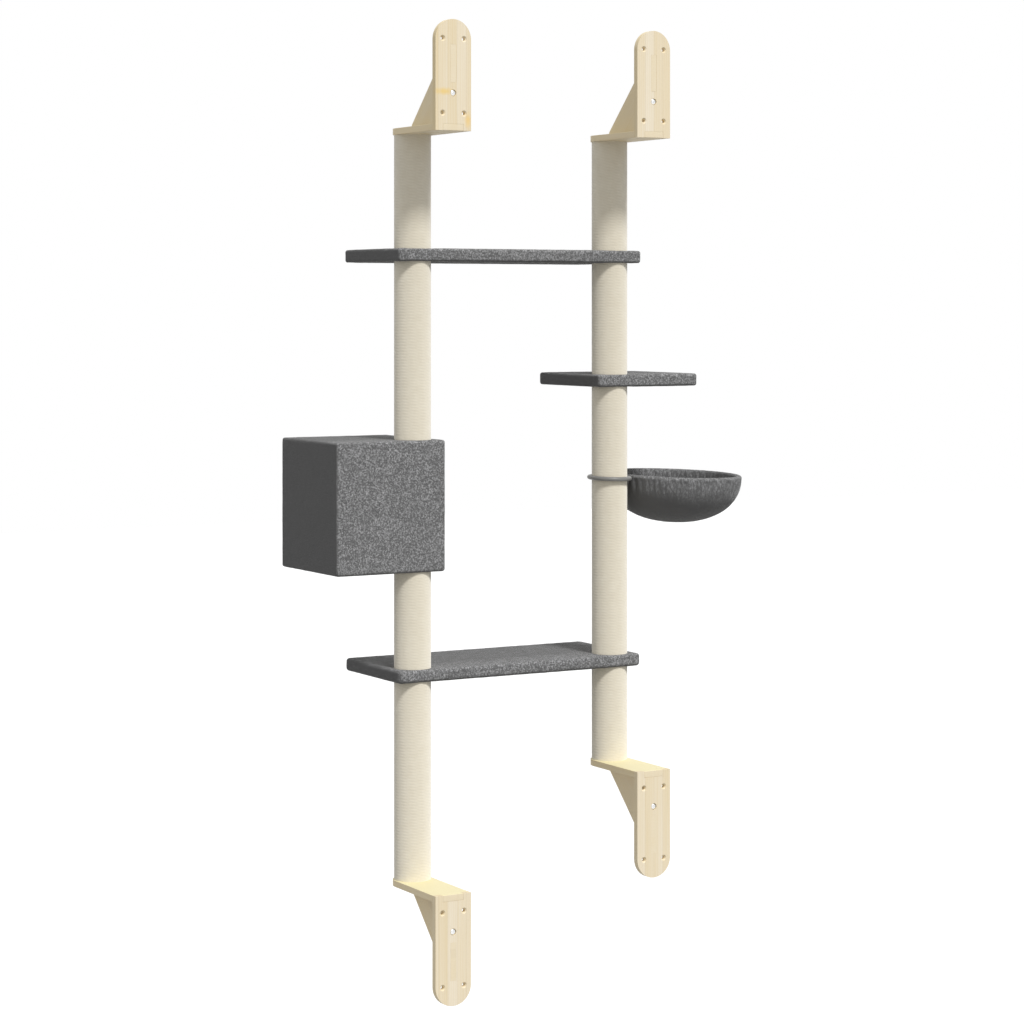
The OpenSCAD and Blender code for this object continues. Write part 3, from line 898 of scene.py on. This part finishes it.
# Hammock bowl
# A round of plush cloth, gathered onto the hoop by a sewn sleeve and hanging below it as a
# bowl. The sleeve is open where the hoop is welded to the eye.
hoop_radius = 0.138
rod_radius = 0.0045
eye_radius = 0.0428
hoop_reach = 0.189
hammock_turn = math.radians(10)
lean_to_wall = math.radians(1.6)
lean_out = math.radians(1.2)
sleeve_radius = 0.0062
sleeve_wrap = math.radians(182)
sleeve_rows = 10
bowl_depth = 0.099
bowl_fullness = 2.2
bowl_steps = 360
bowl_seed = 5
side_rows = 30
side_spacing = 1.2
hem_drop = 0.045
hem_rows = 12
cloth_wall = 0.0015
cloth_merge = 1e-5
cloth_uneven = 0.0003
weld_room = 0.0022
gather_seed = 7
gather_count = 84
gather_scatter = 0.45
gather_depth = 0.0017
depth_spread = 0.0011
gather_width = 0.0026
width_spread = 0.0009
gather_length = 0.046
length_spread = 0.018
gather_reach = 0.15
gather_top = 0.004
below_rim = -0.002
slack_depth = 0.0012
slack_round = 3
slack_down = 30
bowl_middle = 0.01
hammock_ground = paint(101, 101, 101)
# The pale fleck colour below is painted highlight.
hammock_glint = paint(178, 178, 179)
brushed_upright = (1, 1, 0.4)

low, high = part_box("hammock_eye")
on_hammock = Matrix.Translation((low + high) / 2) @ Matrix.Rotation(hammock_turn, 4, "Z") \
    @ Matrix.Rotation(lean_out, 4, "Y") @ Matrix.Rotation(lean_to_wall, 4, "X")
hoop_centre = Vector((hoop_reach, 0, 0))


def bowl_profile():
    """Points from the hem up the inside, over the hoop and down to the middle of the bowl."""
    rim = hoop_radius + sleeve_radius
    hem_across = rim * (1 - (hem_drop / bowl_depth) ** bowl_fullness) ** (1 / bowl_fullness) - 2 * cloth_wall
    top = Vector((hoop_radius + sleeve_radius * math.cos(sleeve_wrap),
                  sleeve_radius * math.sin(sleeve_wrap)))
    foot = Vector((hem_across, -hem_drop))
    points = [tuple(foot.lerp(top, row / hem_rows)) for row in range(hem_rows)]
    for row in range(sleeve_rows):
        angle = sleeve_wrap * (1 - row / sleeve_rows)
        points.append((hoop_radius + sleeve_radius * math.cos(angle), sleeve_radius * math.sin(angle)))
    for row in range(side_rows + 1):
        angle = math.pi / 2 * (row / side_rows) ** side_spacing
        across = rim * max(0.0, math.cos(angle)) ** (2 / bowl_fullness)
        points.append((across, -bowl_depth * math.sin(angle) ** (2 / bowl_fullness)))
    return points


def gathers():
    """Bearings, depths, widths and lengths of the creases under the rim, evenly scattered."""
    creases = []
    for index in range(gather_count):
        roll = [noise.random_unit_vector()[k] for k in range(3)]
        creases.append((2 * math.pi * (index + gather_scatter * roll[0]) / gather_count,
                        gather_depth + depth_spread * roll[1],
                        gather_width + width_spread * roll[2],
                        gather_length + length_spread * roll[0]))
    return creases


def draw_in(work, creases):
    """Draws the cloth in along its creases, and lets it hang a little loose between them."""
    for vert in work.verts:
        spoke = vert.co - hoop_centre
        bearing = math.atan2(spoke.y, spoke.x) % (2 * math.pi)
        inward = 0.0
        for middle, depth, width, length in creases:
            aside = (bearing - middle + math.pi) % (2 * math.pi) - math.pi
            if abs(aside) < gather_reach and spoke.z < below_rim:
                fall = max(0.0, 1 + (spoke.z + gather_top) / length)
                inward += depth * fall * math.exp(-(aside * hoop_radius / width) ** 2)
        round_hoop = Vector((math.cos(bearing) * slack_round, math.sin(bearing) * slack_round,
                             spoke.z * slack_down))
        loose = slack_depth * noise.noise(round_hoop)
        flat = Vector((spoke.x, spoke.y, 0))
        if flat.length > bowl_middle and spoke.z < below_rim:
            vert.co -= flat.normalized() * (inward + loose)


def hang_bowl(finish):
    """The cloth, spun from its profile round the hoop's axis, gathered and opened at the weld."""
    work = bmesh.new()
    spots = [work.verts.new(hoop_centre + Vector((across, 0, up))) for across, up in bowl_profile()]
    line = [work.edges.new(pair) for pair in zip(spots, spots[1:])]
    bmesh.ops.spin(work, geom=spots + line, cent=hoop_centre, axis=(0, 0, 1), angle=2 * math.pi,
                   steps=bowl_steps, use_merge=True)
    bmesh.ops.remove_doubles(work, verts=work.verts, dist=cloth_merge)
    bmesh.ops.recalc_face_normals(work, faces=work.faces)
    lowest = min(work.faces, key=lambda face: face.calc_center_median().z)
    if lowest.normal.z > 0:
        bmesh.ops.reverse_faces(work, faces=work.faces)
    noise.seed_set(gather_seed)
    draw_in(work, gathers())
    near_eye = []
    for face in work.faces:
        middle = face.calc_center_median()
        away = math.hypot(middle.xy.length - eye_radius, middle.z)
        if away < rod_radius + weld_room:
            near_eye.append(face)
    bmesh.ops.delete(work, geom=near_eye, context="FACES")
    rough_pile(work, bowl_seed, cloth_uneven)
    bmesh.ops.transform(work, matrix=on_hammock, verts=work.verts)
    for face in work.faces:
        face.smooth = True
    made = piece_from(work, "hammock_cloth", finish)
    wall = made.modifiers.new("cloth", "SOLIDIFY")
    wall.thickness = cloth_wall
    wall.offset = -1
    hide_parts("hammock_bowl")
    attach(made, "hammock")


hang_bowl(plush_finish("hammock_plush", hammock_ground, hammock_glint, brushed_upright))
